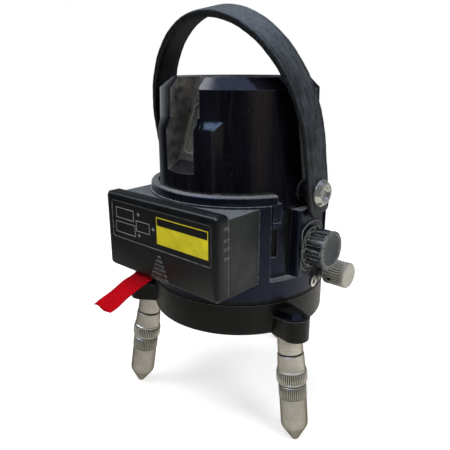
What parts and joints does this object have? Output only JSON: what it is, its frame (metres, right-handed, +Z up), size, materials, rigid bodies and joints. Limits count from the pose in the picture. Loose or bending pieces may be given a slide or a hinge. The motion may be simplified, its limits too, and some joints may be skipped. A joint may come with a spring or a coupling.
{
  "type": "line laser level",
  "caption": "Line laser level with a slotted glossy barrel, leaning window, battery box, lock knob and fine turning knob, carry strap and round base on splayed screw legs.",
  "frame": {"origin": "point on the ground under the turning axis, level with the tips of the feet", "axes": "+Z up along the turning axis, -Y towards the battery box, +X towards the knobs"},
  "size_m": [0.1457, 0.1847, 0.2687],
  "materials": {
    "base_plastic": "fine-textured moulded black",
    "cap_plastic": "glossy moulded black",
    "leg_metal": "turned and satin plated",
    "seal_rubber": "matt black",
    "housing_plastic": "glossy moulded navy black",
    "box_plastic": "dusty charcoal",
    "window": "clear",
    "lens_glass": "polished",
    "cell_wrap": "plain printed sleeve",
    "spring_metal": "nickel plated",
    "ribbon_cloth": "red woven tape",
    "strap_leather": "black, worn at the edges",
    "rivet_metal": "plated",
    "knob_plastic": "fluted black",
    "knob_cap_plastic": "grey",
    "dial_plastic": "satin dark grey",
    "shaft_steel": "ground",
    "fine_knob_metal": "fine straight knurl",
    "bush_brass": "turned",
    "socket_metal": "plated",
    "insert_brass": "turned",
    "board_plastic": "green laminate",
    "bracket_metal": "plain",
    "frame_brass": "machined",
    "laser_brass": "anodised",
    "lens_mount_plastic": "natural cream",
    "magnet_steel": "plated",
    "damper_metal": "plain",
    "switch_plastic": "moulded",
    "washer_plastic": "slippery natural plastic"
  },
  "bodies": {
    "base": {"base_housing": "base_plastic", "tripod_insert": "insert_brass", "pivot_post": "shaft_steel", "thrust_washer": "washer_plastic", "worm_wheel": "bush_brass", "post_nut": "shaft_steel", "leg_sleeve_right": "leg_metal", "leg_sleeve_left": "leg_metal", "leg_sleeve_rear": "leg_metal", "leg_seals": "seal_rubber", "lug_caps": "cap_plastic"},
    "turret": {"lower_housing": "housing_plastic", "upper_housing": "housing_plastic", "window_glass": "window", "battery_box": "box_plastic", "battery_cell_top": "cell_wrap", "battery_cell_middle": "cell_wrap", "battery_cell_bottom": "cell_wrap", "battery_contacts": "spring_metal", "pull_ribbon": "ribbon_cloth", "strap_rivets": "rivet_metal", "dial_plate": "dial_plastic", "rotary_switch": "switch_plastic", "side_socket": "socket_metal", "fine_bushing": "bush_brass", "circuit_board": "board_plastic", "gimbal_bracket": "bracket_metal", "bracket_bearings": "shaft_steel", "damper_bar": "bracket_metal", "damper_magnets": "magnet_steel"},
    "cover": {"battery_cover": "box_plastic"},
    "strap": {"carry_strap": "strap_leather"},
    "knob": {"power_knob": "knob_plastic", "knob_cap": "knob_cap_plastic", "knob_shaft": "shaft_steel"},
    "lock": {"lock_pad": "switch_plastic"},
    "fine_drive": {"fine_knob": "fine_knob_metal", "worm_shaft": "shaft_steel", "fine_set_screw": "shaft_steel"},
    "gimbal": {"gimbal_ring": "shaft_steel", "ring_bearings": "shaft_steel"},
    "pendulum": {"pendulum_frame": "frame_brass", "laser_module": "laser_brass", "lens_mount": "lens_mount_plastic", "line_lens": "lens_glass", "damper_disc": "damper_metal"},
    "nut_right": {"leg_nut_right": "leg_metal"},
    "foot_right": {"leg_foot_right": "leg_metal"},
    "nut_left": {"leg_nut_left": "leg_metal"},
    "foot_left": {"leg_foot_left": "leg_metal"},
    "nut_rear": {"leg_nut_rear": "leg_metal"},
    "foot_rear": {"leg_foot_rear": "leg_metal"}
  },
  "joints": [
    {"name": "turret_turn", "type": "hinge", "parent": "base", "child": "turret", "pos_m": [0, 0, 0.0937], "axis": [0, 0, 1], "continuous": true},
    {"name": "fine_turn", "type": "hinge", "parent": "turret", "child": "fine_drive", "pos_m": [0, 0.024, 0.101], "axis": [1, 0, 0], "continuous": true},
    {"name": "cover_slide", "type": "slide", "parent": "turret", "child": "cover", "axis": [0, 0, 1], "range_m": [0, 0.05]},
    {"name": "strap_swing", "type": "hinge", "parent": "turret", "child": "strap", "pos_m": [0, 0, 0.16], "axis": [1, 0, 0], "range_deg": [-102.4, 77.6]},
    {"name": "power_turn", "type": "hinge", "parent": "turret", "child": "knob", "pos_m": [0.06, 0, 0.1253], "axis": [1, 0, 0], "range_deg": [0, 90]},
    {"name": "lock_lift", "type": "slide", "parent": "turret", "child": "lock", "axis": [0, 0, 1], "range_m": [0, 0.003]},
    {"name": "gimbal_pitch", "type": "hinge", "parent": "turret", "child": "gimbal", "pos_m": [0, 0, 0.2], "axis": [1, 0, 0], "range_deg": [-3, 3]},
    {"name": "pendulum_roll", "type": "hinge", "parent": "gimbal", "child": "pendulum", "pos_m": [0, 0, 0.2], "axis": [0, 1, 0], "range_deg": [-3, 3]},
    {"name": "foot_slide_right", "type": "slide", "parent": "base", "child": "foot_right", "axis": [0.1408, -0.0488, -0.9888], "range_m": [-0.0005, 0.006]},
    {"name": "nut_turn_right", "type": "hinge", "parent": "base", "child": "nut_right", "pos_m": [0.06419, -0.02227, 0.0445], "axis": [-0.1408, 0.0488, 0.9888], "range_deg": [-150, 1734]},
    {"name": "foot_slide_left", "type": "slide", "parent": "base", "child": "foot_left", "axis": [-0.1127, -0.0975, -0.9888], "range_m": [-0.0005, 0.006]},
    {"name": "nut_turn_left", "type": "hinge", "parent": "base", "child": "nut_left", "pos_m": [-0.05138, -0.04446, 0.0445], "axis": [0.1127, 0.0975, 0.9888], "range_deg": [-150, 1734]},
    {"name": "foot_slide_rear", "type": "slide", "parent": "base", "child": "foot_rear", "axis": [-0.0281, 0.1463, -0.9888], "range_m": [-0.0005, 0.006]},
    {"name": "nut_turn_rear", "type": "hinge", "parent": "base", "child": "nut_rear", "pos_m": [-0.01281, 0.06673, 0.0445], "axis": [0.0281, -0.1463, 0.9888], "range_deg": [-150, 1734]}
  ],
  "couplings": [
    {"joint": "fine_turn", "follows": "turret_turn", "ratio": -40},
    {"joint": "lock_lift", "follows": "power_turn", "m_per_rad": 0.0019098},
    {"joint": "nut_turn_right", "follows": "foot_slide_right", "rad_per_m": 5026.6},
    {"joint": "nut_turn_left", "follows": "foot_slide_left", "rad_per_m": 5026.6},
    {"joint": "nut_turn_rear", "follows": "foot_slide_rear", "rad_per_m": 5026.6}
  ]
}
